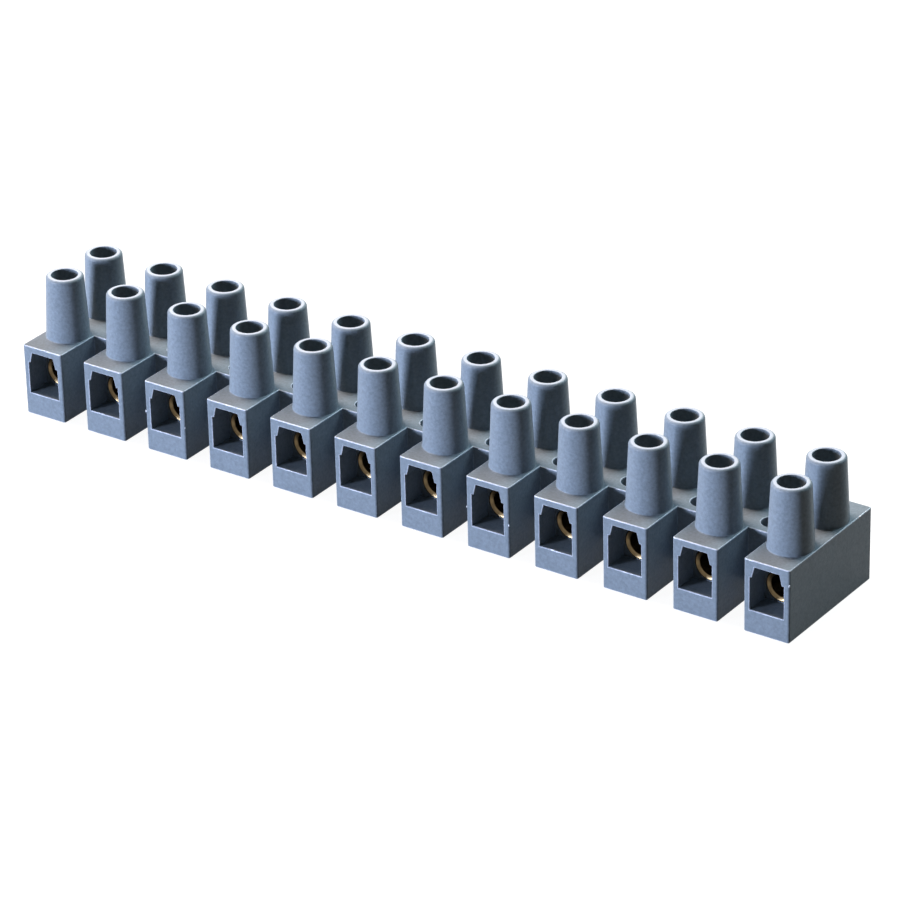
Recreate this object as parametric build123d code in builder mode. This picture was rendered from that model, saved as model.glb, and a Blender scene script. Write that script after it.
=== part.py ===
"""Terminal strip: a moulded comb of poles, each with a brass tube and two clamping screws in turrets.

Millimetres. X runs along the strip, Y along the wires, Z up. The origin is on the base, under the strip's middle.
"""

from build123d import *
import math
import os

# The strip
POLE_COUNT = 12
PITCH = 12.0
POLE_WIDTH = 7.6
POLE_LENGTH = 23.2
BODY_HEIGHT = 11.8
POLE_CORNER_RADIUS = 0.35

# The webs that join the poles, and the fixing hole through each
WEB_THICKNESS = 6.4
WEB_UNDERSIDE = 3.0
FIXING_HOLE_RADIUS = 1.7

# The screw turrets. The inset runs from a pole's face to the turret's axis.
TURRET_INSET = 6.7
TURRET_HEIGHT = 10.4
TURRET_FOOT_RADIUS = 3.5
TURRET_TOP_RADIUS = 3.0
TURRET_RIM_RADIUS = 0.4
SCREW_BORE_RADIUS = 2.1

# The wire entries: a square mouth, and above its shoulders a narrower one that tapers
ENTRY_DEPTH = 4.2
ENTRY_FLOOR = 3.7
ENTRY_WIDTH = 5.65
ENTRY_SHOULDER_HEIGHT = 5.25
ENTRY_CROWN_HEIGHT = 1.75
ENTRY_CROWN_FOOT_WIDTH = 4.95
ENTRY_CROWN_TOP_WIDTH = 4.1

# The brass tube, and the seat that it lies in, a small step above the entry's floor
TUBE_RADIUS = 2.55
TUBE_PROUD = 0.1
TUBE_END_CHAMFER = 0.2
WIRE_BORE_RADIUS = 1.8
SEAT_CLEARANCE = 0.05
SEAT_STEP = 0.1

# The clamping screws
THREAD_RADIUS = 1.5
THREAD_CLEARANCE = 0.04
TIP_CLEARANCE = 0.1
TIP_CHAMFER = 0.3
HEAD_RADIUS = 1.95
HEAD_HEIGHT = 2.4
HEAD_CHAMFER = 0.25
HEAD_TO_TUBE = 0.3
SLOT_WIDTH = 0.7
SLOT_DEPTH = 1.1

# Worked out from the above. A screw stops TIP_CLEARANCE above where its shank would meet the bore's flanks.
TURRET_SPACING = POLE_LENGTH - 2 * TURRET_INSET
TUBE_LENGTH = POLE_LENGTH - 2 * (ENTRY_DEPTH - TUBE_PROUD)
TUBE_AXIS_HEIGHT = ENTRY_FLOOR + SEAT_STEP + SEAT_CLEARANCE + TUBE_RADIUS
TUBE_TOP = TUBE_AXIS_HEIGHT + TUBE_RADIUS
ENTRY_SHOULDER = ENTRY_FLOOR + ENTRY_SHOULDER_HEIGHT
ENTRY_TOP = ENTRY_SHOULDER + ENTRY_CROWN_HEIGHT
STRIP_SPAN = PITCH * (POLE_COUNT - 1)
TURRET_TOP = BODY_HEIGHT + TURRET_HEIGHT
SCREW_TIP = TUBE_AXIS_HEIGHT + WIRE_BORE_RADIUS + TIP_CLEARANCE
SCREW_TRAVEL = WIRE_BORE_RADIUS + math.sqrt(WIRE_BORE_RADIUS**2 - THREAD_RADIUS**2)
HEAD_UNDERSIDE = TUBE_TOP + SCREW_TRAVEL + HEAD_TO_TUBE
HEAD_TOP = HEAD_UNDERSIDE + HEAD_HEIGHT


def pole_x(pole):
    """The X of a pole's middle, counted from 0 at the left."""
    return (pole - (POLE_COUNT - 1) / 2) * PITCH


def make_turret():
    """One tapered turret with a rounded rim, standing on the body's top at the origin. It is not yet bored."""
    with BuildPart() as turret:
        with BuildSketch(Plane.XZ) as section:
            with BuildLine():
                Polyline(
                    (0, BODY_HEIGHT),
                    (TURRET_FOOT_RADIUS, BODY_HEIGHT),
                    (TURRET_TOP_RADIUS, TURRET_TOP),
                    (0, TURRET_TOP),
                    close=True,
                )
            make_face()
            rim = section.vertices().group_by(Axis.Y)[-1].sort_by(Axis.X)[-1]
            fillet(rim, TURRET_RIM_RADIUS)
        revolve(axis=Axis.Z)
    return turret.part


def make_entry():
    """The space of one wire entry, its mouth on the XZ plane, running ENTRY_DEPTH towards +Y."""
    with BuildPart() as entry:
        with BuildSketch(Plane.XZ):
            with BuildLine():
                Polyline(
                    (-ENTRY_WIDTH / 2, ENTRY_FLOOR),
                    (ENTRY_WIDTH / 2, ENTRY_FLOOR),
                    (ENTRY_WIDTH / 2, ENTRY_SHOULDER),
                    (ENTRY_CROWN_FOOT_WIDTH / 2, ENTRY_SHOULDER),
                    (ENTRY_CROWN_TOP_WIDTH / 2, ENTRY_TOP),
                    (-ENTRY_CROWN_TOP_WIDTH / 2, ENTRY_TOP),
                    (-ENTRY_CROWN_FOOT_WIDTH / 2, ENTRY_SHOULDER),
                    (-ENTRY_WIDTH / 2, ENTRY_SHOULDER),
                    close=True,
                )
            make_face()
        extrude(amount=-ENTRY_DEPTH)
    return entry.part


def make_housing():
    """The moulded strip: poles, webs, turrets, wire entries, tube seats, screw bores and fixing holes."""
    turret = make_turret()
    entry = make_entry()
    with BuildPart() as housing:
        with BuildSketch():
            with GridLocations(PITCH, 0, POLE_COUNT, 1):
                RectangleRounded(POLE_WIDTH, POLE_LENGTH, POLE_CORNER_RADIUS)
        extrude(amount=BODY_HEIGHT)
        with BuildSketch(Plane.XY.offset(WEB_UNDERSIDE)):
            Rectangle(STRIP_SPAN, WEB_THICKNESS)
        extrude(amount=BODY_HEIGHT - WEB_UNDERSIDE)
        with GridLocations(PITCH, TURRET_SPACING, POLE_COUNT, 2):
            add(turret)
        # The tube seats run through; the entries are cut into both faces.
        with BuildSketch(Plane.XZ.offset(-POLE_LENGTH / 2)):
            with Locations((0, TUBE_AXIS_HEIGHT)):
                with GridLocations(PITCH, 0, POLE_COUNT, 1):
                    Circle(TUBE_RADIUS + SEAT_CLEARANCE)
        extrude(amount=POLE_LENGTH, mode=Mode.SUBTRACT)
        with Locations((0, -POLE_LENGTH / 2, 0)):
            with GridLocations(PITCH, 0, POLE_COUNT, 1):
                add(entry, mode=Mode.SUBTRACT)
        with Locations(Location((0, POLE_LENGTH / 2, 0), (0, 0, 180))):
            with GridLocations(PITCH, 0, POLE_COUNT, 1):
                add(entry, mode=Mode.SUBTRACT)
        with BuildSketch(Plane.XY.offset(TURRET_TOP)):
            with GridLocations(PITCH, TURRET_SPACING, POLE_COUNT, 2):
                Circle(SCREW_BORE_RADIUS)
        extrude(amount=TUBE_AXIS_HEIGHT - TURRET_TOP, mode=Mode.SUBTRACT)
        with BuildSketch(Plane.XY.offset(BODY_HEIGHT)):
            with GridLocations(PITCH, 0, POLE_COUNT - 1, 1):
                Circle(FIXING_HOLE_RADIUS)
        extrude(amount=WEB_UNDERSIDE - BODY_HEIGHT, mode=Mode.SUBTRACT)
    return housing.part


def make_tube():
    """One brass tube at the origin pole: a bored bar with a tapped hole under each turret."""
    with BuildPart() as tube:
        with BuildSketch(Plane.XZ.offset(-TUBE_LENGTH / 2)):
            with Locations((0, TUBE_AXIS_HEIGHT)):
                Circle(TUBE_RADIUS)
        extrude(amount=TUBE_LENGTH)
        ends = tube.edges().filter_by(GeomType.CIRCLE)
        chamfer(ends, TUBE_END_CHAMFER)
        with BuildSketch(Plane.XZ.offset(-TUBE_LENGTH / 2)):
            with Locations((0, TUBE_AXIS_HEIGHT)):
                Circle(WIRE_BORE_RADIUS)
        extrude(amount=TUBE_LENGTH, mode=Mode.SUBTRACT)
        with BuildSketch(Plane.XY.offset(TUBE_TOP)):
            with GridLocations(0, TURRET_SPACING, 1, 2):
                Circle(THREAD_RADIUS + THREAD_CLEARANCE)
        extrude(amount=-TUBE_RADIUS, mode=Mode.SUBTRACT)
    return tube.part


def make_screw():
    """One slotted clamping screw, backed out above the wire bore, with its axis on Z."""
    with BuildPart() as screw:
        with BuildSketch(Plane.XZ):
            with BuildLine():
                Polyline(
                    (0, SCREW_TIP),
                    (THREAD_RADIUS - TIP_CHAMFER, SCREW_TIP),
                    (THREAD_RADIUS, SCREW_TIP + TIP_CHAMFER),
                    (THREAD_RADIUS, HEAD_UNDERSIDE),
                    (HEAD_RADIUS, HEAD_UNDERSIDE),
                    (HEAD_RADIUS, HEAD_TOP - HEAD_CHAMFER),
                    (HEAD_RADIUS - HEAD_CHAMFER, HEAD_TOP),
                    (0, HEAD_TOP),
                    close=True,
                )
            make_face()
        revolve(axis=Axis.Z)
        with BuildSketch(Plane.XY.offset(HEAD_TOP)):
            Rectangle(2 * HEAD_RADIUS, SLOT_WIDTH)
        extrude(amount=-SLOT_DEPTH, mode=Mode.SUBTRACT)
    return screw.part


def write(piece, name):
    """Labels a finished piece and writes it to its own file."""
    piece.label = name
    export_step(piece, f"parts/{name}.step")


os.makedirs("parts", exist_ok=True)
write(make_housing(), "housing")
tube = make_tube()
screw = make_screw()
for pole in range(POLE_COUNT):
    x = pole_x(pole)
    write(tube.moved(Location((x, 0, 0))), f"clamp_tube_{pole + 1:02d}")
    for side, y in (("front", -TURRET_SPACING / 2), ("rear", TURRET_SPACING / 2)):
        write(screw.moved(Location((x, y, 0))), f"{side}_screw_{pole + 1:02d}")
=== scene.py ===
"""Looks for the terminal strip in a plain white studio: moulded housing, brass clamp tubes, slotted screws.

Metres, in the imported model's own frame: X runs along the strip, Y along the wires, Z up.
"""

import math
import random

import bmesh
import bpy
from mathutils import Matrix, Vector


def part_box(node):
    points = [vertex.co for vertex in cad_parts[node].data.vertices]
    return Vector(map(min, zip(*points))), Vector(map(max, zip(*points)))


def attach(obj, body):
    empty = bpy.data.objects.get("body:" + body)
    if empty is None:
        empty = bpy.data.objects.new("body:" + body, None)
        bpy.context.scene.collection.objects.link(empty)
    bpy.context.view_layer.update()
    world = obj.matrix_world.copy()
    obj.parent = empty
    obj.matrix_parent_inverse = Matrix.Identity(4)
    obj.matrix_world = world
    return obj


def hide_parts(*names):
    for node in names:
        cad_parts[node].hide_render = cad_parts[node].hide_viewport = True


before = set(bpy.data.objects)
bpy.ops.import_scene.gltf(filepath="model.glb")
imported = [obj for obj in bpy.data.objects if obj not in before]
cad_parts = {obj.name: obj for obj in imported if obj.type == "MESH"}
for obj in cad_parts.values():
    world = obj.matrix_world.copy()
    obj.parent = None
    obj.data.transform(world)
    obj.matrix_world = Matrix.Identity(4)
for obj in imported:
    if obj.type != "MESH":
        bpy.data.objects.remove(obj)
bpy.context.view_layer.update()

MM = 0.001

# The poles and the webs that join them
POLE_WIDTH = 7.6 * MM
POLE_CORNER = 0.35 * MM
BODY_TOP = 11.8 * MM
WEB_HALF_THICKNESS = 3.2 * MM
WEB_UNDERSIDE = 3.0 * MM
FIXING_HOLE_RADIUS = 1.7 * MM

# The turrets
TURRET_FOOT_RADIUS = 3.5 * MM
TURRET_TOP_RADIUS = 3.0 * MM
TURRET_SINK = 1.0 * MM
RIM_RADIUS = 0.52 * MM
SCREW_BORE_RADIUS = 2.1 * MM
BORE_LIP = 0.14 * MM

# The wire entries and the seat of the tube behind them
ENTRY_DEPTH = 4.2 * MM
ENTRY_FLOOR = 3.7 * MM
ENTRY_SHOULDER = 8.95 * MM
ENTRY_TOP = 10.7 * MM
ENTRY_HALF_WIDTH = 2.825 * MM
CROWN_FOOT_HALF = 2.475 * MM
CROWN_TOP_HALF = 2.05 * MM
TUBE_AXIS_HEIGHT = 6.4 * MM
SEAT_RADIUS = 2.6 * MM
SEAT_GAP = 0.05 * MM

# The brass tubes. Their end faces slope in towards the wire bore as a shallow lead-in.
TUBE_CHAMFER = 0.2 * MM
WIRE_BORE_RADIUS = 1.8 * MM
BORE_EDGE_ROUND = 0.08 * MM
LEAD_IN_SLOPE = math.radians(19)
TAPPED_HOLE_RADIUS = 1.54 * MM

# The screws
HEAD_RADIUS = 1.95 * MM
HEAD_HEIGHT = 2.4 * MM
HEAD_ROUND = 0.3 * MM
SLOT_HALF_WIDTH = 0.35 * MM
SLOT_DEPTH = 1.1 * MM
THREAD_RADIUS = 1.5 * MM
THREAD_DEPTH = 0.27 * MM
THREAD_PITCH = 0.5 * MM
SLOT_TURN = math.radians(137.5)

# How finely round forms are divided
ROUND_STEPS = 64
RIM_STEPS = 6
LIP_STEPS = 4
CORNER_STEPS = 4
SCREW_STEPS = 32
THREAD_ROWS_A_TURN = 6

# The softening of the housing's edges
EDGE_SOFTENING = 0.14 * MM
EDGE_STEPS = 3
SOFTEN_FROM = math.radians(32)
SHARP_FROM = math.radians(40)
# The body's slot, and the slot of the paler material that paints highlights on the outer edges
BODY_SLOT = 0
EDGE_HIGHLIGHT_SLOT = 1

# How far cutting tools reach past a face, and how near places, points and faces count as one
OVERCUT = 1.0 * MM
SAME_PLACE = 0.05 * MM
SAME_POINT = 0.001 * MM
SAME_FACE = math.radians(0.5)

# Torn flash that the photograph shows as small pale flecks: the pole from 0 at the left, its place
# from the pole's middle at the base (x, y, z), its size and its turn about Z in degrees
FLASH = (
    (0, (4.60, -1.00, 11.78), (0.20, 0.16, 0.08), 30),
    (2, (-3.76, -11.54, 6.50), (0.16, 0.14, 0.28), 0),
    (2, (3.76, -11.54, 5.60), (0.14, 0.14, 0.24), 0),
    (2, (0.80, 7.10, 22.16), (0.36, 0.14, 0.12), -10),
    (3, (0.40, -11.54, 11.74), (1.10, 0.12, 0.09), 0),
    (3, (-0.80, -11.55, 3.68), (0.60, 0.12, 0.09), 0),
    (5, (4.60, -1.00, 11.78), (0.22, 0.16, 0.08), 0),
    (7, (-3.76, -11.54, 6.60), (0.14, 0.14, 0.26), 0),
    (7, (3.76, -11.54, 5.60), (0.14, 0.14, 0.26), 0),
    (7, (0.90, 7.10, 22.16), (0.40, 0.14, 0.12), 0),
    (8, (-0.60, -11.54, 11.74), (0.90, 0.12, 0.09), 0),
    (8, (-0.60, -11.55, 3.68), (0.50, 0.13, 0.10), 0),
    (11, (3.76, 8.20, 11.76), (0.50, 0.16, 0.12), 84),
    (11, (3.76, 9.90, 11.76), (0.26, 0.14, 0.10), 80),
    (11, (3.76, -11.54, 9.40), (0.16, 0.14, 0.42), 10),
    (11, (1.60, -11.54, 11.74), (0.50, 0.12, 0.09), 0),
)
FLASH_SEED = 7
FLASH_SHRINK = 0.55

# The turrets' top rims: a paler tone that paints their highlight, a smoother roughness, and how far below
# their top it starts and is full
RIM_HIGHLIGHT_TONE = (0.41, 0.45, 0.51)
RIM_ROUGHNESS = 0.3
RIM_STARTS = 0.06 * MM
RIM_FULL = 0.005 * MM

# Textures: noise in features a metre, and the heights of bumps
CLOUD_SCALE = 2200
GLOSS_SCALE = 1800
WAVE_SCALE = 220
WAVE_HEIGHT = 0.12 * MM
GRAIN_SCALE = 3200
GRAIN_HEIGHT = 0.025 * MM
TARNISH_SCALE = 900
TURNING_STRETCH = 14
TURNING_HEIGHT = 0.01 * MM
MOTTLE_SCALE = 1500
MOTTLE_HEIGHT = 0.008 * MM
RAMP_SPAN = (0.3, 0.7)
PLASTIC_IOR = 1.5

# The mix node has sockets of one name for each kind of data. These are its colour sockets' places.
MIX_FIRST = 6
MIX_SECOND = 7
MIX_RESULT = 2

# The studio
FLOOR_SIZE = 3
FLOOR_TONE = 0.15
FLOOR_GLOW = 0.94
FILL_COLOUR = (1.0, 0.84, 0.50)
FILL_STRENGTH = 0.03
LAMP_DISTANCE = 1.0

# The camera, fitted to the photograph
CAMERA_PLACE = Vector((0.37197, -0.52377, 0.33519))
CAMERA_YAW = math.radians(35.1373)
CAMERA_PITCH = math.radians(27.0549)
CAMERA_ROLL = math.radians(-1.3981)
CAMERA_LENS = 190.67
SENSOR_WIDTH = 36
CLIP_START = 10 * MM

screw_names = sorted(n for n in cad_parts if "_screw_" in n)
tube_names = sorted(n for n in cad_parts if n.startswith("clamp_tube_"))
HOUSING_LOW, HOUSING_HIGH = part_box("housing")
FACE_Y = HOUSING_HIGH.y
TURRET_TOP = HOUSING_HIGH.z


def middle(node):
    """The middle of a CAD node's box."""
    low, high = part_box(node)
    return (low + high) / 2


POLE_X = [middle(n).x for n in tube_names]
TURRET_Y = abs(middle(screw_names[0]).y)


def ring_angles(steps):
    """Even angles around a full turn."""
    return [2 * math.pi * i / steps for i in range(steps)]


def quarter_round(steps):
    """(cosine, sine) pairs at even angles from 0 to 90 degrees."""
    angles = [math.pi / 2 * step / steps for step in range(steps + 1)]
    return [(math.cos(a), math.sin(a)) for a in angles]


def join_rings(bm, first, second):
    """Adds the faces between two rings of as many vertices."""
    for i in range(len(first)):
        j = (i + 1) % len(first)
        bm.faces.new((first[i], first[j], second[j], second[i]))


def prism(bm, outline, run):
    """Adds a closed prism: a flat outline of points, moved along run."""
    near = [bm.verts.new(p) for p in outline]
    far = [bm.verts.new(Vector(p) + run) for p in outline]
    bm.faces.new(near)
    bm.faces.new(reversed(far))
    for i, a in enumerate(near):
        j = (i + 1) % len(near)
        bm.faces.new((a, far[i], far[j], near[j]))


def lathe(bm, profile, x, y):
    """Adds a round solid about the vertical through x, y, from (radius, height) points, bottom first."""
    rings = []
    for radius, z in profile:
        points = [(x + radius * math.cos(a), y + radius * math.sin(a), z) for a in ring_angles(ROUND_STEPS)]
        rings.append([bm.verts.new(point) for point in points])
    bm.faces.new(reversed(rings[0]))
    bm.faces.new(rings[-1])
    for lower, upper in zip(rings, rings[1:]):
        join_rings(bm, lower, upper)


def object_from(bm, name):
    """Closes a bmesh into an object of the scene, its faces turned outwards."""
    bmesh.ops.recalc_face_normals(bm, faces=bm.faces)
    mesh = bpy.data.meshes.new(name)
    bm.to_mesh(mesh)
    bm.free()
    piece = bpy.data.objects.new(name, mesh)
    bpy.context.scene.collection.objects.link(piece)
    return piece


def carved(solid, tool):
    """Cuts tool out of solid, joins what overlaps in each, and deletes tool."""
    cut = solid.modifiers.new("cut", "BOOLEAN")
    cut.operation = "DIFFERENCE"
    cut.solver = "EXACT"
    cut.use_self = True
    cut.object = tool
    depsgraph = bpy.context.evaluated_depsgraph_get()
    mesh = bpy.data.meshes.new_from_object(solid.evaluated_get(depsgraph))
    solid.modifiers.clear()
    solid.data = mesh
    bpy.data.objects.remove(tool)
    return solid


def finished(piece, material, body):
    """Gives a piece its material, smooth shading between sharp edges, and the body that it rides on.

    A mesh that several pieces share gets its material with the first of them.
    """
    if not piece.data.materials:
        piece.data.materials.append(material)
    piece.data.shade_smooth()
    piece.data.set_sharp_from_angle(angle=SHARP_FROM)
    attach(piece, body)


def pole_outline(x):
    """The outline of a pole's foot about (x, 0), with round corners."""
    straight_x, straight_y = POLE_WIDTH / 2 - POLE_CORNER, FACE_Y - POLE_CORNER
    points = []
    for corner in range(4):
        sx = 1 if corner in (0, 3) else -1
        sy = 1 if corner in (0, 1) else -1
        for step in range(CORNER_STEPS + 1):
            angle = math.pi / 2 * (corner + step / CORNER_STEPS)
            points.append((
                x + sx * straight_x + POLE_CORNER * math.cos(angle),
                sy * straight_y + POLE_CORNER * math.sin(angle),
                0,
            ))
    return points


def turret_profile():
    """A turret's side as (radius, height) points: the cone from inside the body up, then its round rim."""
    slope = (TURRET_FOOT_RADIUS - TURRET_TOP_RADIUS) / (TURRET_TOP - BODY_TOP)
    cone = [(TURRET_FOOT_RADIUS + slope * TURRET_SINK, BODY_TOP - TURRET_SINK)]
    rim = [
        (TURRET_TOP_RADIUS - RIM_RADIUS + RIM_RADIUS * across, TURRET_TOP - RIM_RADIUS + RIM_RADIUS * up)
        for across, up in quarter_round(RIM_STEPS)
    ]
    return cone + rim


def bore_profile():
    """The space of a screw bore, with a round lip where it opens."""
    lip = [
        (SCREW_BORE_RADIUS + BORE_LIP * (1 - across), TURRET_TOP - BORE_LIP + BORE_LIP * up)
        for across, up in quarter_round(LIP_STEPS)
    ]
    mouth = (SCREW_BORE_RADIUS + BORE_LIP, TURRET_TOP + OVERCUT)
    return [(SCREW_BORE_RADIUS, TUBE_AXIS_HEIGHT), *lip, mouth]


def entry_outline(x, y):
    """The mouth of a wire entry: a square one, and above its shoulders a narrower one that tapers."""
    right = [
        (ENTRY_HALF_WIDTH, ENTRY_FLOOR),
        (ENTRY_HALF_WIDTH, ENTRY_SHOULDER),
        (CROWN_FOOT_HALF, ENTRY_SHOULDER),
        (CROWN_TOP_HALF, ENTRY_TOP),
    ]
    left = [(-half, z) for half, z in reversed(right)]
    return [(x + half, y, z) for half, z in right + left]


def from_pole(place):
    """How far a place lies along the strip from the middle of the nearest pole."""
    return min(abs(place.x - x) for x in POLE_X)


def softened(edge):
    """True for an edge that the mould leaves soft: outer edges, entry lips, turret feet, fixing holes."""
    if len(edge.link_faces) != 2 or edge.calc_face_angle(0) < SOFTEN_FROM:
        return False
    place = (edge.verts[0].co + edge.verts[1].co) / 2
    if place.z > BODY_TOP + 2 * EDGE_SOFTENING:
        return False
    inside_face = abs(place.y) < FACE_Y - SAME_PLACE
    near_pole = from_pole(place) < ENTRY_HALF_WIDTH + SAME_PLACE
    in_entry = ENTRY_FLOOR - SAME_PLACE < place.z < ENTRY_TOP + SAME_PLACE
    return not (inside_face and near_pole and in_entry)


def in_hollow_corner(place):
    """True outside the poles and webs, where only the rounding of an inner corner reaches."""
    in_pole = from_pole(place) < POLE_WIDTH / 2 and place.z < BODY_TOP
    in_web = abs(place.y) < WEB_HALF_THICKNESS and WEB_UNDERSIDE < place.z < BODY_TOP
    return not (in_pole or in_web)


def housing_solids():
    """The poles with their turrets, and the web that runs through them all."""
    solids = bmesh.new()
    for x in POLE_X:
        prism(solids, pole_outline(x), Vector((0, 0, BODY_TOP)))
        for y in (-TURRET_Y, TURRET_Y):
            lathe(solids, turret_profile(), x, y)
    corners = ((0, -1), (-1, -1), (-1, 1), (0, 1))
    web = [(POLE_X[end], side * WEB_HALF_THICKNESS, WEB_UNDERSIDE) for end, side in corners]
    prism(solids, web, Vector((0, 0, BODY_TOP - WEB_UNDERSIDE)))
    return object_from(solids, "housing_shell")


def housing_spaces():
    """The wire entries, screw bores, tube seats and fixing holes."""
    spaces = bmesh.new()
    seat_end = FACE_Y - 2 * OVERCUT
    for x in POLE_X:
        for side in (-1, 1):
            mouth = entry_outline(x, side * (FACE_Y + OVERCUT))
            prism(spaces, mouth, Vector((0, -side * (ENTRY_DEPTH + OVERCUT), 0)))
            lathe(spaces, bore_profile(), x, side * TURRET_Y)
        seat = [
            (x + SEAT_RADIUS * math.cos(a), -seat_end, TUBE_AXIS_HEIGHT + SEAT_RADIUS * math.sin(a))
            for a in ring_angles(ROUND_STEPS)
        ]
        prism(spaces, seat, Vector((0, 2 * seat_end, 0)))
    hole = [(FIXING_HOLE_RADIUS, WEB_UNDERSIDE - OVERCUT), (FIXING_HOLE_RADIUS, BODY_TOP + OVERCUT)]
    for left, right in zip(POLE_X, POLE_X[1:]):
        lathe(spaces, hole, (left + right) / 2, 0)
    return object_from(spaces, "housing_spaces")


def soften_edges(mesh):
    """Rounds the housing's edges, and marks the outer ones for the paler material that paints their
    highlights.
    """
    soft = bmesh.new()
    soft.from_mesh(mesh)
    bmesh.ops.remove_doubles(soft, verts=soft.verts, dist=SAME_POINT)
    bmesh.ops.dissolve_limit(soft, angle_limit=SAME_FACE, verts=soft.verts, edges=soft.edges)
    bmesh.ops.bevel(
        soft,
        geom=[e for e in soft.edges if softened(e)],
        affect="EDGES",
        offset=EDGE_SOFTENING,
        offset_type="OFFSET",
        segments=EDGE_STEPS,
        profile=0.5,
        material=EDGE_HIGHLIGHT_SLOT,
        clamp_overlap=False,
    )
    # Rounded inner corners keep the body's tone, so that only the outer edges carry the painted highlight
    for face in soft.faces:
        if face.material_index == EDGE_HIGHLIGHT_SLOT and in_hollow_corner(face.calc_center_median()):
            face.material_index = BODY_SLOT
    soft.to_mesh(mesh)
    soft.free()


def make_housing(material, edge_highlight_material):
    """The moulded strip, with its softened outer edges in a paler material of their own, which paints their
    highlights.
    """
    housing = carved(housing_solids(), housing_spaces())
    soften_edges(housing.data)
    finished(housing, material, "strip")
    housing.data.materials.append(edge_highlight_material)
    weights = housing.modifiers.new("weights", "WEIGHTED_NORMAL")
    weights.keep_sharp = True
    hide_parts("housing")


def make_flash(material):
    """Small torn slivers of flash, half sunk in the edges that they stand on."""
    chance = random.Random(FLASH_SEED)
    slivers = bmesh.new()
    for pole, place, size, turn in FLASH:
        made = bmesh.ops.create_icosphere(slivers, subdivisions=1, radius=1)["verts"]
        for vert in made:
            vert.co *= chance.uniform(FLASH_SHRINK, 1.0)
        x, y, z = (MM * value for value in place)
        grow = Matrix.Diagonal((*(MM * value for value in size), 1))
        stand = Matrix.Translation((POLE_X[pole] + x, y, z)) @ Matrix.Rotation(math.radians(turn), 4, "Z")
        bmesh.ops.transform(slivers, matrix=stand @ grow, verts=made)
    finished(object_from(slivers, "flash_slivers"), material, "strip")


def tube_profile(length):
    """A tube's section as (radius, y) points: out along its front end, back outside, in along its rear."""
    outer = SEAT_RADIUS - SEAT_GAP
    lip = WIRE_BORE_RADIUS + BORE_EDGE_ROUND
    sunk = (outer - TUBE_CHAMFER - lip) * math.tan(LEAD_IN_SLOPE)
    front = [
        (WIRE_BORE_RADIUS, -length / 2 + sunk + BORE_EDGE_ROUND),
        (lip, -length / 2 + sunk),
        (outer - TUBE_CHAMFER, -length / 2),
        (outer, -length / 2 + TUBE_CHAMFER),
    ]
    return front + [(radius, -y) for radius, y in reversed(front)]


def tube_mesh(length):
    """One clamp tube across x = 0, with a hole for each of its screws."""
    solid = bmesh.new()
    rings = []
    for radius, y in tube_profile(length):
        angles = ring_angles(ROUND_STEPS)
        points = [(radius * math.cos(a), y, TUBE_AXIS_HEIGHT + radius * math.sin(a)) for a in angles]
        rings.append([solid.verts.new(point) for point in points])
    for near, far in zip(rings, rings[1:] + rings[:1]):
        join_rings(solid, near, far)
    holes = bmesh.new()
    above = TUBE_AXIS_HEIGHT + SEAT_RADIUS + OVERCUT
    for y in (-TURRET_Y, TURRET_Y):
        lathe(holes, [(TAPPED_HOLE_RADIUS, TUBE_AXIS_HEIGHT), (TAPPED_HOLE_RADIUS, above)], 0, y)
    return carved(object_from(solid, "tube_pattern"), object_from(holes, "tube_holes"))


def make_tubes(material):
    """The tubes share one mesh, as long as the CAD tubes."""
    low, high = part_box(tube_names[0])
    pattern = tube_mesh(high.y - low.y)
    for name, x in zip(tube_names, POLE_X):
        piece = bpy.data.objects.new(f"{name}_machined", pattern.data)
        bpy.context.scene.collection.objects.link(piece)
        piece.location.x = x
        finished(piece, material, "strip")
        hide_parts(name)
    bpy.data.objects.remove(pattern)


def thread_radius(z, share_of_turn):
    """A thread's radius at a height, a share of a turn round. It runs out to its root at the tip."""
    phase = (z / THREAD_PITCH - share_of_turn) % 1
    ridge = 1 - abs(2 * phase - 1)
    lead = min(1, z / THREAD_PITCH)
    return THREAD_RADIUS - THREAD_DEPTH * (1 - ridge * lead)


def screw_rings(length):
    """Rings of (x, y, z) points from a screw's tip to the top of its round-edged head."""
    shank = length - HEAD_HEIGHT
    rows = round(shank / THREAD_PITCH * THREAD_ROWS_A_TURN)
    levels = []
    for row in range(rows + 1):
        z = shank * row / rows
        levels.append((z, [thread_radius(z, i / SCREW_STEPS) for i in range(SCREW_STEPS)]))
    levels.append((shank, [HEAD_RADIUS] * SCREW_STEPS))
    for across, up in quarter_round(LIP_STEPS):
        radius = HEAD_RADIUS - HEAD_ROUND + HEAD_ROUND * across
        levels.append((length - HEAD_ROUND + HEAD_ROUND * up, [radius] * SCREW_STEPS))
    angles = ring_angles(SCREW_STEPS)
    return [[(r * math.cos(a), r * math.sin(a), z) for r, a in zip(radii, angles)] for z, radii in levels]


def screw_mesh(length):
    """One screw standing on z = 0: a threaded shank under a slotted head."""
    solid = bmesh.new()
    rings = [[solid.verts.new(point) for point in ring] for ring in screw_rings(length)]
    solid.faces.new(reversed(rings[0]))
    solid.faces.new(rings[-1])
    for lower, upper in zip(rings, rings[1:]):
        join_rings(solid, lower, upper)

    slot = bmesh.new()
    floor = length - SLOT_DEPTH
    corners = ((-2, -1), (2, -1), (2, 1), (-2, 1))
    outline = [(sx * HEAD_RADIUS, sy * SLOT_HALF_WIDTH, floor) for sx, sy in corners]
    prism(slot, outline, Vector((0, 0, SLOT_DEPTH + OVERCUT)))
    return carved(object_from(solid, "screw_pattern"), object_from(slot, "screw_slot"))


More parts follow.
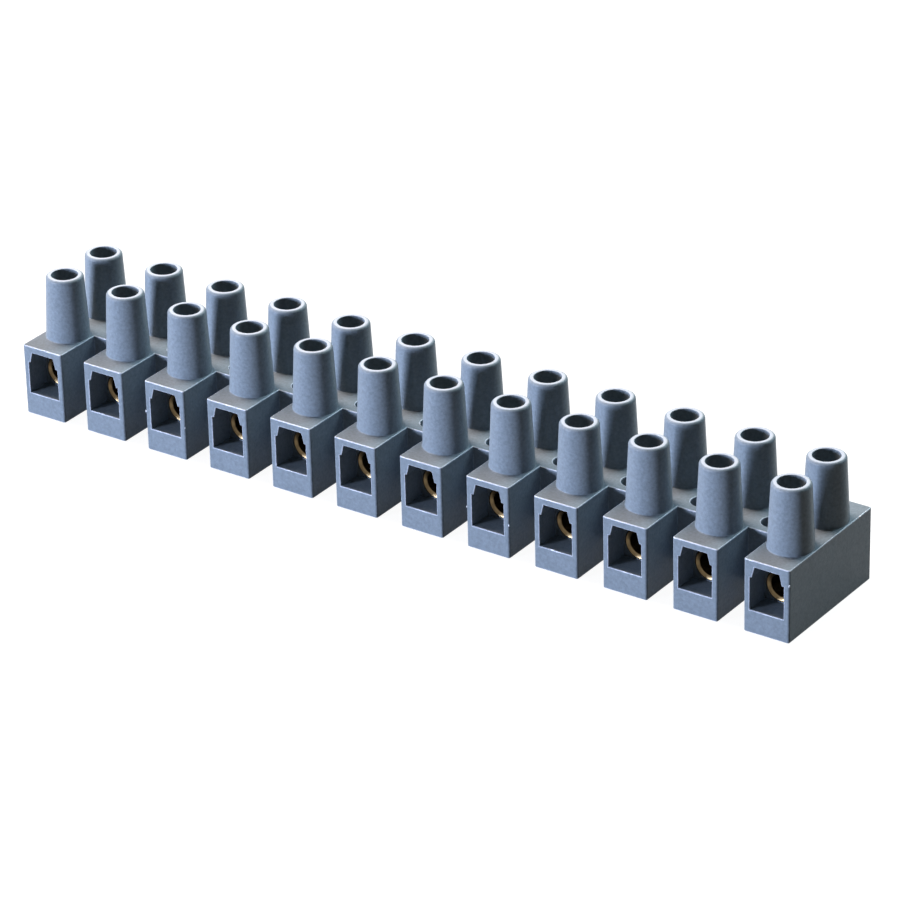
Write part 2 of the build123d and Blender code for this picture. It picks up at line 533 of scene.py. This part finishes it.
def make_screws(material):
    """The screws share one mesh. Their slots stand at uneven angles, as on screws backed out one by one."""
    low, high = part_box(screw_names[0])
    pattern = screw_mesh(high.z - low.z)
    for turn, name in enumerate(screw_names):
        place = middle(name)
        piece = bpy.data.objects.new(f"{name}_slotted", pattern.data)
        bpy.context.scene.collection.objects.link(piece)
        foot = Matrix.Translation((place.x, place.y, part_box(name)[0].z))
        piece.matrix_world = foot @ Matrix.Rotation(SLOT_TURN * turn, 4, "Z")
        finished(piece, material, name)
        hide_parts(name)
    bpy.data.objects.remove(pattern)


def material_with_shader(name):
    """A new node material with one surface shader. Returns the material, nodes, links and the shader."""
    material = bpy.data.materials.new(name)
    material.use_nodes = True
    nodes, links = material.node_tree.nodes, material.node_tree.links
    return material, nodes, links, nodes["Principled BSDF"]


def noise(nodes, links, scale, detail=3.0, roughness=0.5, stretch=(1, 1, 1)):
    """Noise over object coordinates, scale in features a metre. Returns its factor socket."""
    place = nodes.new("ShaderNodeTexCoord")
    mapping = nodes.new("ShaderNodeMapping")
    mapping.inputs["Scale"].default_value = stretch
    texture = nodes.new("ShaderNodeTexNoise")
    texture.inputs["Scale"].default_value = scale
    texture.inputs["Detail"].default_value = detail
    texture.inputs["Roughness"].default_value = roughness
    links.new(place.outputs["Object"], mapping.inputs["Vector"])
    links.new(mapping.outputs["Vector"], texture.inputs["Vector"])
    return texture.outputs["Fac"]


def ramp(nodes, links, factor, low, high):
    """A two-colour ramp over a factor. Returns its colour socket."""
    colours = nodes.new("ShaderNodeValToRGB")
    first, last = colours.color_ramp.elements
    first.position, last.position = RAMP_SPAN
    first.color = (*low, 1)
    last.color = (*high, 1)
    links.new(factor, colours.inputs["Fac"])
    return colours.outputs["Color"]


def grey_ramp(nodes, links, factor, low, high):
    """A ramp between two plain numbers, such as roughnesses. Returns its socket."""
    return ramp(nodes, links, factor, (low,) * 3, (high,) * 3)


def bump(nodes, links, height, distance, strength, below=None):
    """A bump over a height. Returns its normal socket; below is the normal that it stands on."""
    node = nodes.new("ShaderNodeBump")
    node.inputs["Distance"].default_value = distance
    node.inputs["Strength"].default_value = strength
    links.new(height, node.inputs["Height"])
    if below is not None:
        links.new(below, node.inputs["Normal"])
    return node.outputs["Normal"]


def rim_highlight_and_gloss_share(nodes, links):
    """0 on the strip and 1 on the flat ring on top of each turret, where a paler tone paints a highlight
    and the roughness is smoother.
    """
    place = nodes.new("ShaderNodeTexCoord")
    axes = nodes.new("ShaderNodeSeparateXYZ")
    links.new(place.outputs["Object"], axes.inputs["Vector"])
    height = nodes.new("ShaderNodeMapRange")
    height.inputs["From Min"].default_value = TURRET_TOP - RIM_STARTS
    height.inputs["From Max"].default_value = TURRET_TOP - RIM_FULL
    links.new(axes.outputs["Z"], height.inputs["Value"])
    return height.outputs["Result"]


def blended(nodes, links, share, socket, colour):
    """A colour socket mixed by a share with a plain colour. Returns the mixed socket."""
    mix = nodes.new("ShaderNodeMix")
    mix.data_type = "RGBA"
    links.new(share, mix.inputs["Factor"])
    links.new(socket, mix.inputs[MIX_FIRST])
    mix.inputs[MIX_SECOND].default_value = (*colour, 1)
    return mix.outputs[MIX_RESULT]


def moulded_plastic(name, low, high, specular=0.1, roughness=(0.30, 0.40)):
    """Plastic between two tones, with a fine matt grain and the slight waves of a moulded face, and a
    painted highlight in a paler tone on the turrets' top rings.
    """
    material, nodes, links, shader = material_with_shader(name)
    rim = rim_highlight_and_gloss_share(nodes, links)
    cloud = ramp(nodes, links, noise(nodes, links, CLOUD_SCALE, detail=5, roughness=0.6), low, high)
    # The top rings take the paler rim tone: a painted highlight.
    links.new(blended(nodes, links, rim, cloud, RIM_HIGHLIGHT_TONE), shader.inputs["Base Color"])
    gloss = grey_ramp(nodes, links, noise(nodes, links, GLOSS_SCALE, detail=3), *roughness)
    links.new(blended(nodes, links, rim, gloss, (RIM_ROUGHNESS,) * 3), shader.inputs["Roughness"])
    waves = bump(nodes, links, noise(nodes, links, WAVE_SCALE, detail=2), WAVE_HEIGHT, 0.5)
    grain = noise(nodes, links, GRAIN_SCALE, detail=4, roughness=0.6)
    links.new(bump(nodes, links, grain, GRAIN_HEIGHT, 0.8, below=waves), shader.inputs["Normal"])
    shader.inputs["IOR"].default_value = PLASTIC_IOR
    shader.inputs["Specular IOR Level"].default_value = specular
    return material


def turned_brass():
    """Brass with fine turning marks and a little uneven tarnish, its tone darker than aged brass as painted
    shade for the dim insides of the wire entries.
    """
    material, nodes, links, shader = material_with_shader("turned_brass")
    shader.inputs["Metallic"].default_value = 1
    tarnish = noise(nodes, links, TARNISH_SCALE, detail=4)
    # Very dark brass tones: painted shade, with tone that differs at random
    colour = ramp(nodes, links, tarnish, (0.06, 0.042, 0.023), (0.16, 0.115, 0.06))
    links.new(colour, shader.inputs["Base Color"])
    links.new(grey_ramp(nodes, links, tarnish, 0.36, 0.28), shader.inputs["Roughness"])
    marks = noise(nodes, links, TARNISH_SCALE, detail=2, stretch=(1, TURNING_STRETCH, 1))
    links.new(bump(nodes, links, marks, TURNING_HEIGHT, 0.4), shader.inputs["Normal"])
    return material


def plated_steel():
    """Zinc-plated steel, faintly mottled."""
    material, nodes, links, shader = material_with_shader("plated_steel")
    shader.inputs["Metallic"].default_value = 1
    mottle = noise(nodes, links, MOTTLE_SCALE, detail=3)
    colour = ramp(nodes, links, mottle, (0.50, 0.49, 0.46), (0.66, 0.65, 0.62))
    links.new(colour, shader.inputs["Base Color"])
    links.new(grey_ramp(nodes, links, mottle, 0.40, 0.24), shader.inputs["Roughness"])
    links.new(bump(nodes, links, mottle, MOTTLE_HEIGHT, 0.3), shader.inputs["Normal"])
    return material


def seen_directly(nodes, links):
    """1 for camera, glossy and transmission rays, and 0 for the rays that only carry light."""
    path = nodes.new("ShaderNodeLightPath")
    total = path.outputs["Is Camera Ray"]
    for ray in ("Is Glossy Ray", "Is Transmission Ray"):
        most = nodes.new("ShaderNodeMath")
        most.operation = "MAXIMUM"
        links.new(total, most.inputs[0])
        links.new(path.outputs[ray], most.inputs[1])
        total = most.outputs["Value"]
    return total


def make_floor():
    """A floor that adds a white glow where it is seen, and still takes a faint shadow."""
    slab = bmesh.new()
    bmesh.ops.create_grid(slab, x_segments=1, y_segments=1, size=FLOOR_SIZE)
    floor = object_from(slab, "floor")
    floor.location.z = HOUSING_LOW.z
    material = bpy.data.materials.new("white_floor")
    material.use_nodes = True
    nodes, links = material.node_tree.nodes, material.node_tree.links
    nodes.clear()
    lit = nodes.new("ShaderNodeBsdfDiffuse")
    lit.inputs["Color"].default_value = (FLOOR_TONE, FLOOR_TONE, FLOOR_TONE, 1)
    glow = nodes.new("ShaderNodeEmission")
    share = nodes.new("ShaderNodeMath")
    share.operation = "MULTIPLY"
    share.inputs[1].default_value = FLOOR_GLOW
    links.new(seen_directly(nodes, links), share.inputs[0])
    links.new(share.outputs["Value"], glow.inputs["Strength"])
    both = nodes.new("ShaderNodeAddShader")
    links.new(lit.outputs["BSDF"], both.inputs[0])
    links.new(glow.outputs["Emission"], both.inputs[1])
    output = nodes.new("ShaderNodeOutputMaterial")
    links.new(both.outputs["Shader"], output.inputs["Surface"])
    floor.data.materials.append(material)


def make_world():
    """White where it is seen, and a dim warm fill where it only lights."""
    world = bpy.data.worlds.new("studio")
    world.use_nodes = True
    nodes, links = world.node_tree.nodes, world.node_tree.links
    nodes.clear()
    fill = nodes.new("ShaderNodeBackground")
    fill.inputs["Color"].default_value = (*FILL_COLOUR, 1)
    fill.inputs["Strength"].default_value = FILL_STRENGTH
    seen = nodes.new("ShaderNodeBackground")
    seen.inputs["Color"].default_value = (1, 1, 1, 1)
    seen.inputs["Strength"].default_value = 1
    mix = nodes.new("ShaderNodeMixShader")
    links.new(seen_directly(nodes, links), mix.inputs["Fac"])
    links.new(fill.outputs["Background"], mix.inputs[1])
    links.new(seen.outputs["Background"], mix.inputs[2])
    output = nodes.new("ShaderNodeOutputWorld")
    links.new(mix.outputs["Shader"], output.inputs["Surface"])
    bpy.context.scene.world = world


def add_softbox(name, azimuth, elevation, size, watts, colour):
    """A square lamp facing the strip. Azimuth 0 is in front of the wire entries, 90 at the right end."""
    lamp = bpy.data.lights.new(name, "AREA")
    lamp.size = size
    lamp.energy = watts
    lamp.color = colour
    turn, rise = math.radians(azimuth), math.radians(elevation)
    away = Vector((math.sin(turn) * math.cos(rise), -math.cos(turn) * math.cos(rise), math.sin(rise)))
    piece = bpy.data.objects.new(name, lamp)
    bpy.context.scene.collection.objects.link(piece)
    piece.location = Vector((0, 0, BODY_TOP)) + LAMP_DISTANCE * away
    piece.rotation_euler = (-away).to_track_quat("-Z", "Y").to_euler()


def make_camera():
    """The camera at the photograph's viewpoint."""
    right = Vector((math.cos(CAMERA_YAW), math.sin(CAMERA_YAW), 0))
    level = Vector((-math.sin(CAMERA_YAW), math.cos(CAMERA_YAW), 0))
    ahead = math.cos(CAMERA_PITCH) * level - math.sin(CAMERA_PITCH) * Vector((0, 0, 1))
    up = right.cross(ahead)
    rolled_right = math.cos(CAMERA_ROLL) * right + math.sin(CAMERA_ROLL) * up
    rolled_up = math.cos(CAMERA_ROLL) * up - math.sin(CAMERA_ROLL) * right
    lens = bpy.data.cameras.new("camera")
    lens.sensor_width = SENSOR_WIDTH
    lens.lens = CAMERA_LENS
    lens.clip_start = CLIP_START
    camera = bpy.data.objects.new("camera", lens)
    bpy.context.scene.collection.objects.link(camera)
    turn = Matrix((rolled_right, rolled_up, -ahead)).transposed()
    camera.matrix_world = Matrix.Translation(CAMERA_PLACE) @ turn.to_4x4()
    bpy.context.scene.camera = camera


make_camera()
make_world()
make_floor()
add_softbox("key", azimuth=-30, elevation=4, size=0.2, watts=23.5, colour=(0.67, 0.76, 1.0))
add_softbox("top_left", azimuth=-100, elevation=55, size=0.5, watts=18.5, colour=(1.0, 0.85, 0.77))
add_softbox("behind", azimuth=170, elevation=45, size=0.5, watts=10.5, colour=(0.68, 0.90, 1.0))

slate = moulded_plastic("slate_plastic", (0.138, 0.168, 0.194), (0.190, 0.230, 0.266), specular=0.08)
# A paler, glossier copy of the slate for the outer edges: its paler tone is a painted highlight
slate_edge_highlight = moulded_plastic(
    "slate_plastic_edge_highlight",
    (0.25, 0.30, 0.37),
    (0.42, 0.47, 0.54),
    specular=0.4,
    roughness=(0.22, 0.34),
)
make_housing(slate, slate_edge_highlight)
make_flash(moulded_plastic("torn_plastic", (0.55, 0.60, 0.68), (0.85, 0.88, 0.92)))
make_tubes(turned_brass())
make_screws(plated_steel())

bpy.context.scene.view_settings.view_transform = "Standard"
